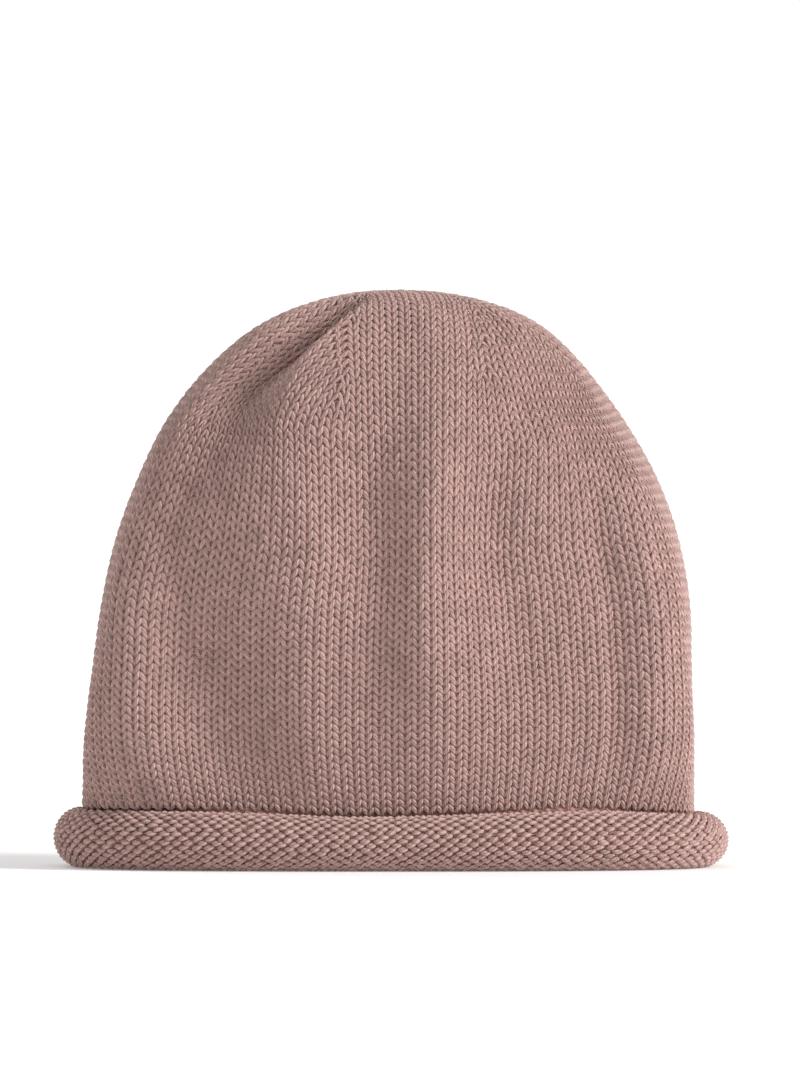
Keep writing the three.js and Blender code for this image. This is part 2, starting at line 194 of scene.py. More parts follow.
def closed_tube(name, rings, uv, tips=(None, None)):
    """A mesh through rings of points in mm, each the same length and closed round, fanned to a tip
    where there is one. uv holds u and v shaped as the rings, with u one step longer."""
    count = len(rings[0])
    vertices = [p for ring in rings for p in ring]
    faces, corners = [], []
    for i in range(len(rings) - 1):
        for k in range(count):
            n = (k + 1) % count
            faces.append((i * count + k, i * count + n, (i + 1) * count + n, (i + 1) * count + k))
            corners.append(((i, k), (i, k + 1), (i + 1, k + 1), (i + 1, k)))
    for row, tip, turned in ((0, tips[0], True), (len(rings) - 1, tips[1], False)):
        if tip is None:
            continue
        vertices.append(tip)
        for k in range(count):
            a, b, c = row * count + k, row * count + (k + 1) % count, len(vertices) - 1
            here, ahead = (row, k), (row, k + 1)
            faces.append((b, a, c) if turned else (a, b, c))
            corners.append((ahead, here, here) if turned else (here, ahead, here))
    mesh = bpy.data.meshes.new(name)
    mesh.from_pydata([tuple(float(x) / 1000 for x in v) for v in vertices], [], faces)
    layer = mesh.uv_layers.new(name="knit")
    layer.data.foreach_set("uv", np.array([uv[:, i, k] for face in corners for i, k in face], float).ravel())
    mesh.shade_smooth()
    piece = bpy.data.objects.new(name, mesh)
    bpy.context.scene.collection.objects.link(piece)
    return piece


# the rows of stitches, from the roll up: how tall a row is at each height on the front, in mm
ROW_HEIGHTS = np.array([
    (20, 2.5), (43, 2.6), (60, 2.72), (75, 2.85), (88, 3.0), (101, 3.17), (115, 3.27), (197, 3.3),
])
STITCHES_ROUND = 124
FRONT_WAY = math.atan2(-46.0, 9.0)  # direction from the middle of the hat to the middle of its front
LOWEST_LEVEL = -0.09  # the lowest row is half hidden behind the roll
azimuths = np.linspace(-math.pi, math.pi, 721)
levels = np.linspace(LOWEST_LEVEL, TOP_LEVEL, 361)

# how far up the knitting each level is, in each direction, and how many rows that makes on the front
sheet = crown_surface(azimuths[None, :], levels[:, None])
steps = np.linalg.norm(np.diff(sheet, axis=0), axis=-1)
climb = np.concatenate([np.zeros((1, len(azimuths))), np.cumsum(steps, axis=0)])
front = int(np.argmin(np.abs(azimuths - FRONT_WAY)))
row_height = np.interp(sheet[:, front, 2], ROW_HEIGHTS[:, 0], ROW_HEIGHTS[:, 1])
rows_in_steps = np.diff(climb[:, front]) / ((row_height[1:] + row_height[:-1]) / 2)
counted = np.concatenate([[0], np.cumsum(rows_in_steps)])
ROWS = int(counted[-1])


def row_levels(number):
    """The crown's level along a row of stitches, for each of the azimuths."""
    wanted = np.interp(number * counted[-1] / ROWS, counted, climb[:, front]) / climb[-1, front] * climb[-1]
    return np.array([np.interp(wanted[k], climb[:, k], levels) for k in range(len(azimuths))])


# where the middle of the strap over the front and top is, by height
STRAP_MIDDLE = np.array([(186, 9), (192, 8.8), (195.6, 7.5), (197, 4)])


class Row:
    """One row of stitches: its closed line round the crown, measured along the knitting from the
    middle of the front, towards the right."""

    def __init__(self, number):
        self.level = row_levels(number)
        self.line = crown_surface(azimuths, self.level)
        run = np.concatenate([[0], np.cumsum(np.linalg.norm(np.diff(self.line, axis=0), axis=-1))])
        self.length = run[-1]
        self.height = self.line[front, 2]
        self.front_half = azimuths <= 0
        middle = np.interp(self.height, STRAP_MIDDLE[:, 0], STRAP_MIDDLE[:, 1])
        self.run = run - np.interp(middle, self.line[self.front_half, 0], run[self.front_half])

    def run_at_x(self, x):
        """Where the row passes a sideways place on the front."""
        return float(np.interp(x, self.line[self.front_half, 0], self.run[self.front_half]))

    def at(self, distance):
        """(azimuth, level) at distances along the row."""
        run = np.concatenate([self.run - self.length, self.run[1:], self.run[1:] + self.length])
        turn = np.concatenate([azimuths - 2 * math.pi, azimuths[1:], azimuths[1:] + 2 * math.pi])
        level = np.concatenate([self.level, self.level[1:], self.level[1:]])
        return np.interp(distance, run, turn), np.interp(distance, run, level)


# the ground's rings: inside from top to foot, then outside from foot to top
GROUND_RINGS, GROUND_SIDES = 71, 236
ring_shares = np.linspace(0, 1, GROUND_RINGS) ** 0.9 * 0.995
turns = np.linspace(-math.pi, math.pi, GROUND_SIDES + 1)[:-1]


def ground_ring(share, depth):
    """The ring at a share of the rows, depth mm under the tops of its stitches."""
    row = min(share * ROWS, ROWS - 0.01)
    level = np.maximum(np.interp(turns, azimuths, row_levels(row)), 0)
    out = crown_normal(turns, level) * np.array([1, 1, 0 if share == 0 else 1])
    return crown_surface(turns, level) - unit(out) * depth


outside = [ground_ring(share, GROUND_DEPTH) for share in ring_shares]
inside = [ground_ring(share, KNIT_THICKNESS) for share in ring_shares]
tip = crown_surface(np.array(0.0), np.array(float(TOP_LEVEL)))
u = np.linspace(0, STITCHES_ROUND, GROUND_SIDES + 1)
v = np.concatenate([ring_shares[::-1], ring_shares]) * ROWS
knit_uv = np.stack(np.broadcast_arrays(u[None, :], v[:, None]))
ground_tips = (tip - np.array([0, 0, KNIT_THICKNESS]), tip - np.array([0, 0, GROUND_DEPTH]))
ground = closed_tube("crown_ground", inside[::-1] + outside, knit_uv, ground_tips)


def math_node(nodes, links, operation, *values):
    """A math node on values that are numbers or other nodes' outputs; returns its output."""
    node = nodes.new("ShaderNodeMath")
    node.operation = operation
    for slot, value in enumerate(values):
        if isinstance(value, (int, float)):
            node.inputs[slot].default_value = value
        else:
            links.new(value, node.inputs[slot])
    return node.outputs[0]


def wool_fibres():
    """Shader group: the soft, uneven look of wool yarn. Shade lightens and darkens its colour fibre by
    fibre and, less, in patches; Fuzz is the height of its loose surface fibres."""
    group = bpy.data.node_groups.new("wool_fibres", "ShaderNodeTree")
    for name, value in (("Patch Size", 60.0), ("Fibre Size", 2200.0), ("Unevenness", 0.1),
                        ("Patchiness", 0.25)):
        socket = group.interface.new_socket(name, in_out="INPUT", socket_type="NodeSocketFloat")
        socket.default_value = value
    for name in ("Shade", "Fuzz"):
        group.interface.new_socket(name, in_out="OUTPUT", socket_type="NodeSocketFloat")
    nodes, links = group.nodes, group.links
    start, end = nodes.new("NodeGroupInput"), nodes.new("NodeGroupOutput")
    place = nodes.new("ShaderNodeTexCoord")
    patches, fibres = nodes.new("ShaderNodeTexNoise"), nodes.new("ShaderNodeTexNoise")
    patches.inputs["Detail"].default_value = 3
    fibres.inputs["Detail"].default_value = 4
    fibres.inputs["Roughness"].default_value = 0.7
    fibres.inputs["Distortion"].default_value = 1.5
    links.new(place.outputs["Object"], patches.inputs["Vector"])
    links.new(place.outputs["Object"], fibres.inputs["Vector"])
    links.new(start.outputs["Patch Size"], patches.inputs["Scale"])
    links.new(start.outputs["Fibre Size"], fibres.inputs["Scale"])
    patchy = math_node(nodes, links, "SUBTRACT", patches.outputs["Fac"], 0.5)
    patchy = math_node(nodes, links, "MULTIPLY", patchy, start.outputs["Patchiness"])
    fibrous = math_node(nodes, links, "SUBTRACT", fibres.outputs["Fac"], 0.5)
    both = math_node(nodes, links, "ADD", patchy, fibrous)
    shade = math_node(nodes, links, "MULTIPLY_ADD", both, start.outputs["Unevenness"], 1.0)
    links.new(shade, end.inputs["Shade"])
    links.new(fibres.outputs["Fac"], end.inputs["Fuzz"])
    return group


WOOL_FIBRES = wool_fibres()


def wool(name, colour, unevenness, fuzz_height, sheen):
    """A material for wool: the yarn's colour, patchy and fibrous, with a soft bloom at its edges.
    Returns it with its nodes and links, and the nodes for the fibres, the colour and the bumps."""
    material = bpy.data.materials.new(name)
    material.use_nodes = True
    nodes, links = material.node_tree.nodes, material.node_tree.links
    shader = nodes["Principled BSDF"]
    shader.inputs["Roughness"].default_value = 0.92
    shader.inputs["Specular IOR Level"].default_value = 0.15
    shader.inputs["Sheen Weight"].default_value = sheen
    shader.inputs["Sheen Roughness"].default_value = 0.45
    shader.inputs["Sheen Tint"].default_value = (1.0, 0.78, 0.72, 1)
    fibres = nodes.new("ShaderNodeGroup")
    fibres.node_tree = WOOL_FIBRES
    fibres.inputs["Unevenness"].default_value = unevenness
    paint = nodes.new("ShaderNodeVectorMath")
    paint.operation = "SCALE"
    paint.inputs[0].default_value = colour
    links.new(fibres.outputs["Shade"], paint.inputs["Scale"])
    links.new(paint.outputs[0], shader.inputs["Base Color"])
    bump = nodes.new("ShaderNodeBump")
    bump.inputs["Distance"].default_value = fuzz_height
    bump.inputs["Strength"].default_value = 1.0
    links.new(fibres.outputs["Fuzz"], bump.inputs["Height"])
    links.new(bump.outputs["Normal"], shader.inputs["Normal"])
    return material, nodes, links, fibres, paint, bump


def reverse_wool(name, colour):
    """The reverse side of the knitting: two ridges to a row that wave with its stitches, along the knit UV,
    which counts stitches and rows. Its colour is painted darker in the troughs between the ridges, as
    painted shade."""
    material, nodes, links, fibres, paint, bump = wool(
        name, colour, unevenness=0.25, fuzz_height=0.0009, sheen=0.1)
    uv = nodes.new("ShaderNodeUVMap")
    uv.uv_map = "knit"
    parts = nodes.new("ShaderNodeSeparateXYZ")
    links.new(uv.outputs[0], parts.inputs[0])
    round_way = math_node(nodes, links, "MULTIPLY", parts.outputs[0], 2 * math.pi)
    wave = math_node(nodes, links, "MULTIPLY", math_node(nodes, links, "COSINE", round_way), 0.22)
    phase = math_node(nodes, links, "MULTIPLY_ADD", parts.outputs[1], 2.0, wave)
    ridges = math_node(nodes, links, "COSINE", math_node(nodes, links, "MULTIPLY", phase, 2 * math.pi))
    height = math_node(nodes, links, "MULTIPLY_ADD", ridges, 0.5, 0.5)
    fuzzy = math_node(nodes, links, "MULTIPLY_ADD", fibres.outputs["Fuzz"], 0.25, height)
    links.new(fuzzy, bump.inputs["Height"])
    # painted shade: darker in the troughs between the ridges
    deep = math_node(nodes, links, "MULTIPLY_ADD", height, 0.5, 0.6)
    links.new(math_node(nodes, links, "MULTIPLY", fibres.outputs["Shade"], deep), paint.inputs["Scale"])
    return material


# painted shade: the ground that shows between the stitches is coloured redder and a little darker than the
# yarn, for the shade deep between them
BETWEEN_STITCHES_SHADE_COLOUR = (0.62, 0.33, 0.28)
INSIDE_COLOUR = (0.70, 0.47, 0.43)
ground.data.materials.append(reverse_wool("wool_shade_between_stitches", BETWEEN_STITCHES_SHADE_COLOUR))
ground.data.materials.append(reverse_wool("wool_inside", INSIDE_COLOUR))
is_inside = np.zeros(len(ground.data.polygons), dtype=np.int32)
is_inside[:GROUND_RINGS * GROUND_SIDES] = 1
is_inside[-2 * GROUND_SIDES:-GROUND_SIDES] = 1
ground.data.polygons.foreach_set("material_index", is_inside)
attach(ground, "root")
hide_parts("crown")

# The stitches of the crown. Each plain stitch shows as a V of two fat, soft legs of two-ply wool
# yarn. Their columns run straight up to the top, and grow fewer along eight lines, four beside the
# straight strap over the front, top and back, and four in the creases at its sides.
LEG_SIDES = 5
LEG_THICKNESS = 1.8  # mm
WOOL_COLOUR = (0.595, 0.396, 0.362)
# painted shade: a darker, redder colour for the yarn where it dives between its neighbours, where shade
# falls
DEEP_SHADE_COLOUR = (0.60, 0.30, 0.25)


def swept_yarn(name, paths):
    """Short lengths of yarn as one mesh: each path has rows of x, y, z, half width, half thickness, in mm.
    Its yarn attribute holds the distance along the yarn, the turn round it, and from 0 to 1 how near to the
    face of the knitting a point is, which masks the painted shade where the yarn dives."""
    vertices, faces, marks = [], [], []
    for path in paths:
        path = np.array(path, float)
        along = np.concatenate([[0], np.cumsum(np.linalg.norm(np.diff(path[:, :3], axis=0), axis=1))])
        heading = unit(np.gradient(path[:, :3], axis=0))
        side = unit(np.cross(heading, np.array([0.0, 0.0, 1.0])))
        facing = unit(np.cross(side, heading))
        base = len(vertices)
        for i, (x, y, z, wide, thick) in enumerate(path):
            for k in range(LEG_SIDES):
                turn = 2 * math.pi * (k + 0.5) / LEG_SIDES - math.pi / 2
                vertices.append(np.array([x, y, z]) + side[i] * wide * math.cos(turn)
                                + facing[i] * thick * math.sin(turn))
                marks.append((along[i], k / LEG_SIDES, float(smooth_step(vertices[-1][2], -0.8, 0.6))))
        for i in range(len(path) - 1):
            for k in range(LEG_SIDES):
                n = (k + 1) % LEG_SIDES
                a, b = base + i * LEG_SIDES, base + (i + 1) * LEG_SIDES
                faces.append((a + k, a + n, b + n, b + k))
        faces.append(tuple(base + k for k in reversed(range(LEG_SIDES))))
        faces.append(tuple(base + (len(path) - 1) * LEG_SIDES + k for k in range(LEG_SIDES)))
    mesh = bpy.data.meshes.new(name)
    mesh.from_pydata([tuple(v / 1000) for v in vertices], [], faces)
    mark = mesh.attributes.new("yarn", "FLOAT_VECTOR", "POINT")
    mark.data.foreach_set("vector", np.array(marks).ravel())
    mesh.shade_smooth()
    piece = bpy.data.objects.new(name, mesh)
    bpy.context.scene.collection.objects.link(piece)
    return piece


# A leg leans outwards as it rises, and both of its ends dive behind the stitches above and below.
STITCH_WIDTH, STITCH_HEIGHT = 4.2, 3.0
LEG_LINE = [
    (0.12, -2.45, -1.30, 0.36, 0.40),
    (0.50, -1.40, -0.40, 0.72, 0.78),
    (1.05, -0.05, 0.00, 0.86, 0.90),
    (1.60, 1.30, -0.10, 0.78, 0.82),
    (2.02, 2.45, -0.95, 0.40, 0.42),
]
left_leg = [(-x, y, z, w, t) for x, y, z, w, t in LEG_LINE]
stitch_shape = swept_yarn("stitch_shape", [LEG_LINE, left_leg])


def yarn_tree():
    """Geometry Nodes: one shape of yarn on every marked point, turned, sized and lightly varied."""
    tree = bpy.data.node_groups.new("lay_yarn", "GeometryNodeTree")
    tree.interface.new_socket("Geometry", in_out="INPUT", socket_type="NodeSocketGeometry")
    for name, kind in (("Yarn Shape", "NodeSocketObject"), ("Wool", "NodeSocketMaterial"),
                       ("Uneven Size", "NodeSocketFloat"), ("Uneven Turn", "NodeSocketFloat"),
                       ("Seed", "NodeSocketInt")):
        tree.interface.new_socket(name, in_out="INPUT", socket_type=kind)
    tree.interface.new_socket("Geometry", in_out="OUTPUT", socket_type="NodeSocketGeometry")
    nodes, links = tree.nodes, tree.links
    start, end = nodes.new("NodeGroupInput"), nodes.new("NodeGroupOutput")

    def marked(name, kind):
        node = nodes.new("GeometryNodeInputNamedAttribute")
        node.data_type = kind
        node.inputs["Name"].default_value = name
        return node.outputs["Attribute"]

    def spread(amount, offset):
        node = nodes.new("FunctionNodeRandomValue")
        node.data_type = "FLOAT_VECTOR"
        links.new(math_node(nodes, links, "MULTIPLY", amount, -1.0), node.inputs["Min"])
        links.new(amount, node.inputs["Max"])
        seed = nodes.new("FunctionNodeIntegerMath")
        seed.operation = "ADD"
        seed.inputs[1].default_value = offset
        links.new(start.outputs["Seed"], seed.inputs[0])
        links.new(seed.outputs[0], node.inputs["Seed"])
        return node.outputs["Value"]

    info = nodes.new("GeometryNodeObjectInfo")
    info.transform_space = "ORIGINAL"
    links.new(start.outputs["Yarn Shape"], info.inputs["Object"])
    sized = nodes.new("ShaderNodeVectorMath")
    sized.operation = "MULTIPLY_ADD"
    links.new(marked("size", "FLOAT_VECTOR"), sized.inputs[0])
    links.new(spread(start.outputs["Uneven Size"], 0), sized.inputs[1])
    links.new(marked("size", "FLOAT_VECTOR"), sized.inputs[2])
    lay = nodes.new("GeometryNodeInstanceOnPoints")
    links.new(start.outputs["Geometry"], lay.inputs["Points"])
    links.new(info.outputs["Geometry"], lay.inputs["Instance"])
    links.new(marked("turn", "FLOAT_VECTOR"), lay.inputs["Rotation"])
    links.new(sized.outputs[0], lay.inputs["Scale"])
    turn = nodes.new("GeometryNodeRotateInstances")
    links.new(lay.outputs["Instances"], turn.inputs["Instances"])
    links.new(spread(start.outputs["Uneven Turn"], 7), turn.inputs["Rotation"])
    real = nodes.new("GeometryNodeRealizeInstances")
    links.new(turn.outputs["Instances"], real.inputs["Geometry"])
    paint = nodes.new("GeometryNodeSetMaterial")
    links.new(real.outputs["Geometry"], paint.inputs["Geometry"])
    links.new(start.outputs["Wool"], paint.inputs["Material"])
    links.new(paint.outputs["Geometry"], end.inputs["Geometry"])
    return tree


YARN_TREE = yarn_tree()


def lay_yarn(name, shape, material, place, across, up, size, shade, uneven=(0.06, 0.06), seed=1):
    """Lays shape at each place (mm), its x along across and its y along up, and returns one plain
    mesh. uneven says how far sizes (as a share) and turns (in radians) vary."""
    up = unit(up)
    out = unit(np.cross(across, up))
    across = unit(np.cross(up, out))
    turns = [Matrix((tuple(a), tuple(b), tuple(c))).transposed().to_euler()
             for a, b, c in zip(across, up, out)]
    cloud = bpy.data.meshes.new(name + "_places")
    cloud.from_pydata([tuple(p / 1000) for p in place], [], [])
    for key, values in (("turn", turns), ("size", size)):
        mark = cloud.attributes.new(key, "FLOAT_VECTOR", "POINT")
        mark.data.foreach_set("vector", np.array([tuple(t) for t in values], float).ravel())
    mark = cloud.attributes.new("shade", "FLOAT", "POINT")
    mark.data.foreach_set("value", np.array(shade, float))
    holder = bpy.data.objects.new(name + "_places", cloud)
    bpy.context.scene.collection.objects.link(holder)
    modifier = holder.modifiers.new("lay_yarn", "NODES")
    modifier.node_group = YARN_TREE
    sockets = {s.name: s.identifier for s in YARN_TREE.interface.items_tree if s.in_out == "INPUT"}
    for key, value in (("Yarn Shape", shape), ("Wool", material), ("Uneven Size", uneven[0]),
                       ("Uneven Turn", uneven[1]), ("Seed", seed)):
        modifier[sockets[key]] = value
    evaluated = holder.evaluated_get(bpy.context.evaluated_depsgraph_get())
    mesh = bpy.data.meshes.new_from_object(evaluated)
    mesh.name = name
    piece = bpy.data.objects.new(name, mesh)
    bpy.context.scene.collection.objects.link(piece)
    bpy.data.objects.remove(holder)
    return piece


def yarn_wool(name, colour, deep_shade_colour, unevenness, sheen):
    """Wool with the twist of its plies, with painted shade in the grooves between them, each stitch a little
    lighter or darker than the next, and a warmer, darker colour painted as shade where the yarn goes down
    between its neighbours."""
    material, nodes, links, fibres, paint, bump = wool(
        name, colour, unevenness, fuzz_height=0.00042, sheen=sheen)
    mark = nodes.new("ShaderNodeAttribute")
    mark.attribute_name = "yarn"
    parts = nodes.new("ShaderNodeSeparateXYZ")
    links.new(mark.outputs["Vector"], parts.inputs[0])
    wound = math_node(nodes, links, "MULTIPLY_ADD", parts.outputs[0], -0.12, parts.outputs[1])
    plies = math_node(nodes, links, "SINE", math_node(nodes, links, "MULTIPLY", wound, 8 * math.pi))
    twist = math_node(nodes, links, "MULTIPLY_ADD", plies, 0.5, 0.5)
    tall = math_node(nodes, links, "MULTIPLY_ADD", twist, 0.9, fibres.outputs["Fuzz"])
    links.new(tall, bump.inputs["Height"])
    each = nodes.new("ShaderNodeAttribute")
    each.attribute_name = "shade"
    lit = math_node(nodes, links, "MULTIPLY", fibres.outputs["Shade"], each.outputs["Fac"])
    # painted shade: the colour darkens in the grooves between the plies
    ply_groove_shade = math_node(nodes, links, "MULTIPLY_ADD", twist, 0.34, 0.82)
    links.new(math_node(nodes, links, "MULTIPLY", lit, ply_groove_shade), paint.inputs["Scale"])
    # painted shade: the yarn's colour turns to the deep shade colour where it dives between its neighbours
    depth_shade_mix = nodes.new("ShaderNodeMix")
    depth_shade_mix.data_type = "RGBA"
    depth_shade_mix.inputs[6].default_value = (*deep_shade_colour, 1)
    depth_shade_mix.inputs[7].default_value = (*colour, 1)
    links.new(parts.outputs[2], depth_shade_mix.inputs[0])
    links.new(depth_shade_mix.outputs[2], paint.inputs[0])
    return material


KNIT_WOOL = yarn_wool("wool_smooth_side", WOOL_COLOUR, DEEP_SHADE_COLOUR, unevenness=0.34, sheen=0.55)

# the height where the first columns end, and how wide a stitch is by height above it
FIRST_END = 105
STITCH_WIDTHS = np.array([(150, 4.3), (197, 4.45)])
# how many columns the strap keeps to each side of its middle, and how many are lost beside it on the
# right; on the left the columns beside it follow the crease
STRAP_EDGES = np.array([(140, 6.5), (165, 5.8), (191, 5.2), (197, 4.6)])
LOST_ON_RIGHT = np.array([(140, 0), (160, 1.2), (175, 2.4), (186, 3.8), (192, 5.2), (197, 7.5)])
STRAP_HALF = 7  # columns of the strap to each side, with the middle one
# the creases where the other columns are lost, as heights and sideways places on the front
CREASE_LINES = {
    -1: np.array([(105, -76), (125, -70), (142, -63), (157, -55), (172, -43), (184, -30), (191, -20),
                  (196, -8)]),
    1: np.array([(105, 82), (142, 73), (170, 60), (181, 49), (190, 36), (196, 20)]),
}
LEFT_CREASE_FOOT = 142  # the height from which columns run into the left crease
rows = [Row(j + 0.5) for j in range(ROWS)]
low_width = [row.length / STITCHES_ROUND for row in rows if row.height < FIRST_END][-1]


def stitch_width(row):
    if row.height < FIRST_END:
        return row.length / STITCHES_ROUND
    return float(np.interp(row.height, [FIRST_END, *STITCH_WIDTHS[:, 0]], [low_width, *STITCH_WIDTHS[:, 1]]))


def squeezed(distance):
    """Columns draw together over the last stitches before the line where they end."""
    return 0.5 * (distance + math.hypot(distance, 0.5))


def narrowed(row, number, lost):
    """How far a column stands nearer to the middle because the stitches at the sides are narrower."""
    most = min(lost, 5.0 * (1 - smooth_step(row.height, 150, 184)))
    return most * float(smooth_step(number, 8, STITCHES_ROUND / 4))


def lost_columns(row):
    """How many columns of a quarter of the way round have ended below a row."""
    return (STITCHES_ROUND - row.length / stitch_width(row)) / 4


def crease_distance(row, side):
    """How many columns away from the middle of the front the crease of a side is."""
    line = CREASE_LINES[side]
    return abs(row.run_at_x(smooth_keyed(line[:, 0], line[:, 1], row.height))) / stitch_width(row)


def column_at_crease(row):
    """The number of the column that runs along the left crease."""
    distance = crease_distance(row, -1)
    return distance + narrowed(row, distance + 1, lost_columns(row))


foot_column = [column_at_crease(row) for row in rows if row.height < LEFT_CREASE_FOOT][-1]


def panels_of(n, edge, beside, outer, to_crease, cut):
    """Where column n passes through a row, by the panels of knitting it is in there: the strap, the
    panel beside it as far as the crease, and the one past the crease."""
    if n < STRAP_HALF:
        return {"strap": edge - squeezed(edge - n)} if edge - n > -0.2 else {}
    if cut <= 0:
        return {"outer": outer} if outer > to_crease else {"beside": beside}
    places = {}
    if beside - edge > -0.25 and to_crease - beside > 0:
        places["beside"] = edge + squeezed(beside - edge)
    if outer - to_crease > -0.25 and outer > edge + 0.3:
        places["outer"] = to_crease + squeezed(outer - to_crease)
    return places


def columns_of(row):
    """The columns of stitches in a row: {(face, panel, number): distance from the middle of the
    front}, with numbers below 0 on the left."""
    width = stitch_width(row)
    quarter = row.length / width / 4
    lost = lost_columns(row)
    edge = min(float(np.interp(row.height, STRAP_EDGES[:, 0], STRAP_EDGES[:, 1])), quarter)
    left, right = crease_distance(row, -1), crease_distance(row, 1)
    cut = lost - narrowed(row, STITCHES_ROUND / 4, lost)
    number = column_at_crease(row) if row.height < LEFT_CREASE_FOOT else foot_column
    cut_left = min(max(number - narrowed(row, number, lost) - left, 0), cut)
    cut_right = min(float(np.interp(row.height, LOST_ON_RIGHT[:, 0], LOST_ON_RIGHT[:, 1])), cut)
    found = {}
    for side, face, to_crease, beside_cut in ((-1, "front", left, cut_left), (-1, "back", right, cut_right),
                                              (1, "front", right, cut_right), (1, "back", right, cut_right)):
        for n in range(0 if side > 0 else 1, STITCHES_ROUND // 4 + 1):
            here = n - narrowed(row, n, lost)
            for panel, place in panels_of(n, edge, here - beside_cut, here - cut, to_crease, cut).items():
                if place < quarter + 0.01:
                    run = place * width * side
                    found[(face, panel, n * side)] = run if face == "front" else row.length / 2 - run
    return found


def settle(found, length):
    """Evens out the gaps where columns end, as the give of the knitting does."""
    names = sorted(found, key=lambda name: found[name] % length)
    place = np.array([found[name] % length for name in names])
    for _ in range(3):
        ahead = np.append(place[1:], place[0] + length)
        behind = np.append(place[-1] - length, place[:-1])
        place = place + 0.45 * ((ahead + behind) / 2 - place)
    ahead = np.append(place[1:], place[0] + length)
    behind = np.append(place[-1] - length, place[:-1])
    return {name: (place[i], (ahead[i] - behind[i]) / 2) for i, name in enumerate(names)}


settled = [settle(columns_of(row), row.length) for row in rows]


def nearest_share(number, share):
    """Where the stitch of a row lies that is nearest to a share of the way round."""
    shares = np.array([run for run, _ in settled[number].values()]) / rows[number].length
    away = (shares - share + 0.5) % 1 - 0.5
    return shares[np.argmin(np.abs(away))] * rows[number].length


SIDES = ("front", "right", "back", "left")


def side_of(share):
    """The quarter of the hat that a share of the way round is in."""
    return SIDES[int((share + 0.125) % 1 * 4)]


chance = np.random.default_rng(11)
for side_name, seed in zip(SIDES, (3, 4, 5, 6)):
    here, below, above, beside, wide = [], [], [], [], []
    for j, (row, found) in enumerate(zip(rows, settled)):
        for name, (run, width) in found.items():
            if side_of(run / row.length) != side_name:
                continue
            here.append(row.at(run))
            beside.append(row.at(run + 1))
            wide.append(width)
            for spots, k in ((below, j - 1), (above, j + 1)):
                if not 0 <= k < ROWS:
                    spots.append(here[-1])
                    continue
                other = settled[k][name][0] if name in settled[k] else nearest_share(k, run / row.length)
                spots.append(rows[k].at(other))
    here, below, above, beside = (np.array(spots, float) for spots in (here, below, above, beside))
    place = crown_surface(here[:, 0], here[:, 1])
    out = crown_normal(here[:, 0], here[:, 1])
    along = unit(crown_surface(beside[:, 0], beside[:, 1]) - place)
    up = crown_surface(above[:, 0], above[:, 1]) - crown_surface(below[:, 0], below[:, 1])
    rows_up = (np.abs(above - here).sum(axis=1) > 0).astype(int) + (np.abs(below - here).sum(axis=1) > 0)
    tall = np.linalg.norm(up, axis=1) / np.maximum(rows_up, 1)
    upright = np.sqrt(1 - np.clip((unit(up) * along).sum(axis=1), -0.8, 0.8) ** 2)
    wide = np.array(wide) * upright
    size = np.stack([np.clip(wide / STITCH_WIDTH, 0.6, 1.35), np.clip(tall / STITCH_HEIGHT, 0.75, 1.3),
                     np.ones(len(wide))], axis=1)
    shade = 1 + 0.06 * chance.standard_normal(len(wide)).clip(-2, 2)
    piece = lay_yarn("knit_" + side_name, stitch_shape, KNIT_WOOL, place - out * LEG_THICKNESS / 2,
                     np.cross(up, out), up, size, shade, seed=seed)
    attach(piece, "root")
    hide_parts("crown")
bpy.data.objects.remove(stitch_shape)

# The rolled brim. The lower edge of the knitting curls outwards by itself, because plain knitting
# always curls towards its smooth side, so the roll shows the bumpy reverse side all round.

# the roll's section, as degrees along its spiral and mm from its centre to the middle of the knitting
ROLL_TURNS = np.array([
    (101, 10.75), (125, 9.7), (150, 8.75), (180, 8.6), (420, 8.6), (442, 8.15), (461, 7.1), (485, 6.0),
    (510, 5.0), (600, 4.2),
])
ROLL_CENTRE_OUT, ROLL_CENTRE_Z, ROLL_TOP_Z = 0.4, 9.75, 20.3
ROLL_SHIFT_X, ROLL_GAP = 1.0, 0.3
ROLL_GROUND_DEPTH = 1.5  # mm that the ground lies under the tops of the bumps
ROLL_COLUMNS = 122
ROLL_ROWS_ROUND = 20


def roll_surface(azimuth, degrees, inwards):
    """Points of the roll, inwards of the outer face of its knitting, in mm."""
    azimuth, degrees = np.broadcast_arrays(np.asarray(azimuth, float), np.asarray(degrees, float))
    ground_level = np.zeros(azimuth.shape)
    foot = plain_crown(azimuth, ground_level) + np.array([ROLL_SHIFT_X, 0, 0])
    out = unit(surface_normal(plain_crown, azimuth, ground_level) * np.array([1, 1, 0]))
    radius = smooth_keyed(ROLL_TURNS[:, 0], ROLL_TURNS[:, 1], degrees) + KNIT_THICKNESS / 2 - inwards
    angle = np.radians(degrees)
    outwards = ROLL_CENTRE_OUT + radius * np.cos(angle)
    up = np.clip(ROLL_CENTRE_Z + radius * np.sin(angle), 0, ROLL_TOP_Z)
    swell = (roll_height(azimuth) - ROLL_GAP) / ROLL_TOP_Z
    point = foot + out * outwards[..., None]
    point[..., 2] = up * swell
    return point


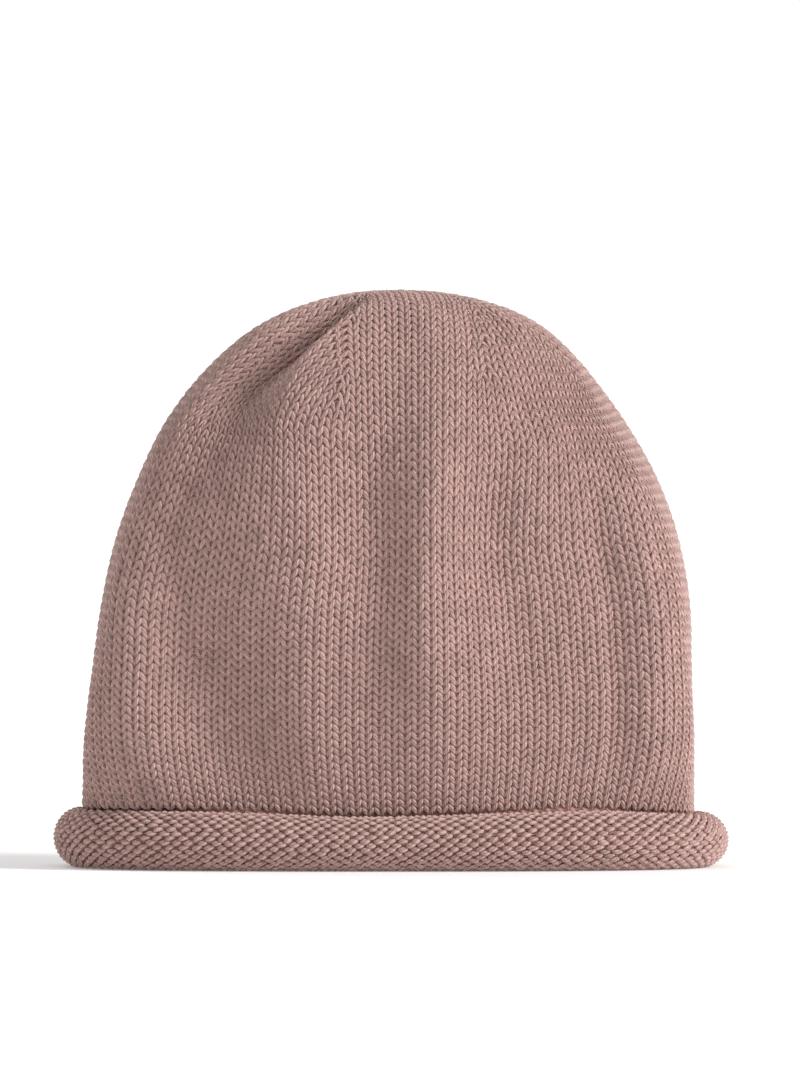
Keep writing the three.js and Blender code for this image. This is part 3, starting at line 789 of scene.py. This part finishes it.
roll_azimuths = np.linspace(-math.pi, math.pi, 721)
roll_line = roll_surface(roll_azimuths, 270.0, KNIT_THICKNESS / 2)
roll_run = np.concatenate([[0], np.cumsum(np.linalg.norm(np.diff(roll_line, axis=0), axis=-1))])
section_turns = np.concatenate([np.linspace(101, 470, 48), [500, 540, 600]])
even = np.interp(np.linspace(0, roll_run[-1], 161)[:-1], roll_run, roll_azimuths)
outer_rings = list(roll_surface(even[None, :], section_turns[:, None], ROLL_GROUND_DEPTH))
inner_rings = list(roll_surface(even[None, :], section_turns[:, None], KNIT_THICKNESS))
roll_u = np.linspace(0, ROLL_COLUMNS, len(even) + 1)
roll_v = np.concatenate([section_turns, section_turns[::-1], section_turns[:1]]) / 360 * ROLL_ROWS_ROUND
roll_uv = np.stack(np.broadcast_arrays(roll_u[None, :], roll_v[:, None]))
roll_ground = closed_tube("brim_ground", inner_rings[::-1] + outer_rings + [inner_rings[-1]], roll_uv)
# painted shade: the ground between the bumps of the roll is coloured redder and darker than the yarn, for
# the shade between them
BETWEEN_BUMPS_SHADE_COLOUR = (0.54, 0.285, 0.24)
roll_ground.data.materials.append(reverse_wool("wool_shade_between_bumps", BETWEEN_BUMPS_SHADE_COLOUR))
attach(roll_ground, "root")
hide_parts("rolled_brim")

# A bump of the reverse side is a bean of yarn that leans to the right and dives at both ends.
BUMP_LINE = [
    (-1.52, -0.16, -1.25, 0.38, 0.40),
    (-1.00, -0.08, -0.34, 0.80, 0.76),
    (0.00, 0.00, 0.00, 1.00, 0.92),
    (1.00, 0.08, -0.34, 0.80, 0.76),
    (1.52, 0.16, -1.25, 0.38, 0.40),
]
bump_shape = swept_yarn("bump_shape", [BUMP_LINE])
# painted light: the roll's yarn is painted a little lighter than the crown's same wool, to make up for the
# roll looking darker under the same light
BRIM_LIGHTENED_COLOUR = (0.61, 0.41, 0.375)
# painted shade: a darker, redder colour for the bumps where they dive into the roll
BRIM_DEEP_SHADE_COLOUR = (0.62, 0.34, 0.29)
BRIM_WOOL = yarn_wool("wool_bumpy_side", BRIM_LIGHTENED_COLOUR, BRIM_DEEP_SHADE_COLOUR, unevenness=0.34, sheen=0.45)
BUMP_WIDTH = 4.16  # mm between two bumps of a row, as the shape is drawn
BUMP_DEPTH = 0.8  # mm from the outer face to the middle of a bump
LOWEST_BUMP = 0.85  # mm from the table to the middle of a bump that rests on it
ROLL_ROW = 1.6  # mm between two rows of bumps
BUMP_RADIUS = 10.2  # mm from the roll's centre to the bumps
ROW_TURN = math.degrees(ROLL_ROW / BUMP_RADIUS)  # degrees of the spiral between two rows
FIRST_ROW_AT, OUTER_FROM, LAST_ROW_BY = 105, 262, 468  # degrees along the spiral
pitch = roll_run[-1] / ROLL_COLUMNS
for name, start_at, end_at, seed in (("brim_inner_bumps", FIRST_ROW_AT, OUTER_FROM, 8),
                                     ("brim_outer_bumps", OUTER_FROM, LAST_ROW_BY, 9)):
    place, across, up, size = [], [], [], []
    for r in range(int((LAST_ROW_BY - FIRST_ROW_AT) / ROW_TURN) + 1):
        degrees = FIRST_ROW_AT + r * ROW_TURN
        if not start_at <= degrees < end_at:
            continue
        shift = 0.5 * (r % 2)
        column = np.arange(ROLL_COLUMNS) + shift + 0.05 * chance.standard_normal(ROLL_COLUMNS).clip(-2, 2)
        at = np.interp(column / ROLL_COLUMNS * roll_run[-1], roll_run, roll_azimuths)
        here = roll_surface(at, degrees, BUMP_DEPTH)
        here[:, 2] = np.maximum(here[:, 2], LOWEST_BUMP)
        ahead = roll_surface(at + 0.005, degrees, BUMP_DEPTH) - roll_surface(at - 0.005, degrees, BUMP_DEPTH)
        out = unit(roll_surface(at, degrees, -4.0) - roll_surface(at, degrees, 8.0))
        lean = 0.16 if r % 2 else 0.04  # every other row leans more, up to the right
        one_on = np.interp(np.interp(at, roll_azimuths, roll_run) + 1, roll_run, roll_azimuths)
        stretch = np.linalg.norm(roll_surface(one_on, degrees, BUMP_DEPTH) - here, axis=1)
        place.append(here)
        across.append(ahead)
        up.append(unit(np.cross(out, ahead)) - lean * unit(ahead))
        size.append(np.stack([np.clip(stretch, 0.7, 1.5) * pitch / BUMP_WIDTH, np.ones(len(at)),
                              np.ones(len(at))], axis=1))
    place, across, up, size = (np.concatenate(values) for values in (place, across, up, size))
    shade = 1 + 0.05 * chance.standard_normal(len(place)).clip(-2, 2)
    piece = lay_yarn(name, bump_shape, BRIM_WOOL, place, across, up, size, shade, (0.10, 0.17), seed)
    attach(piece, "root")
    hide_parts("rolled_brim")
bpy.data.objects.remove(bump_shape)

# The table, the light and the camera. A plain white table in a plain white room, under a soft studio
# light from the right and a weaker one from behind on the left. The camera is level with the middle
# of the photograph and far enough away to see the hat without much perspective.
FLOOR = 40  # metres from the hat to the table's edges
floor_corners = [(-FLOOR, -FLOOR, 0), (FLOOR, -FLOOR, 0), (FLOOR, FLOOR, 0), (-FLOOR, FLOOR, 0)]
floor_mesh = bpy.data.meshes.new("floor")
floor_mesh.from_pydata(floor_corners, [], [(0, 1, 2, 3)])
floor = bpy.data.objects.new("floor", floor_mesh)
bpy.context.scene.collection.objects.link(floor)
floor_paint = bpy.data.materials.new("white_paper")
floor_paint.use_nodes = True
paper = floor_paint.node_tree.nodes["Principled BSDF"]
paper.inputs["Base Color"].default_value = (0.93, 0.93, 0.93, 1)
paper.inputs["Roughness"].default_value = 0.95
paper.inputs["Specular IOR Level"].default_value = 0.1
paper.inputs["Emission Color"].default_value = (1, 1, 1, 1)
paper.inputs["Emission Strength"].default_value = 0.16
floor_mesh.materials.append(floor_paint)

AMBIENT = 0.55  # the room's light on the hat
ROOM_WHITE = 1.1  # how bright the room looks to the camera
world = bpy.data.worlds.new("studio")
bpy.context.scene.world = world
world.use_nodes = True
nodes, links = world.node_tree.nodes, world.node_tree.links
nodes["Background"].inputs["Color"].default_value = (1, 1, 1, 1)
seen = nodes.new("ShaderNodeLightPath")
camera_ray = seen.outputs["Is Camera Ray"]
strength = math_node(nodes, links, "MULTIPLY_ADD", camera_ray, ROOM_WHITE - AMBIENT, AMBIENT)
links.new(strength, nodes["Background"].inputs["Strength"])

for name, energy, spread_degrees, heading in (("key_light", 3.05, 18, (-0.88, 0.32, -0.45)),
                                              ("fill_light", 0.8, 60, (0.60, -0.70, -0.35))):
    light_data = bpy.data.lights.new(name, "SUN")
    light_data.energy = energy
    light_data.angle = math.radians(spread_degrees)
    light = bpy.data.objects.new(name, light_data)
    light.rotation_euler = Vector(heading).to_track_quat("-Z", "Y").to_euler()
    bpy.context.scene.collection.objects.link(light)

SCALE = 0.341 / 1000  # metres a pixel of the photograph at the hat
PHOTO_WIDTH, PHOTO_HEIGHT = 800, 1067
HAT_MIDDLE, TABLE_LINE = 391, 866  # pixels from the left and from the top of the photograph
DISTANCE = 3.0
SENSOR = 36  # mm
camera_data = bpy.data.cameras.new("camera")
camera_data.sensor_fit = "VERTICAL"
camera_data.sensor_height = SENSOR
camera_data.sensor_width = SENSOR
camera_data.lens = SENSOR * DISTANCE / (PHOTO_HEIGHT * SCALE)
camera_data.clip_end = 50
camera = bpy.data.objects.new("camera", camera_data)
right_of_hat, above_table = PHOTO_WIDTH / 2 - HAT_MIDDLE, TABLE_LINE - PHOTO_HEIGHT / 2
camera.location = (right_of_hat * SCALE, -DISTANCE, above_table * SCALE)
camera.rotation_euler = (math.pi / 2, 0, 0)
bpy.context.scene.collection.objects.link(camera)
bpy.context.scene.camera = camera
bpy.context.scene.view_settings.view_transform = "Standard"
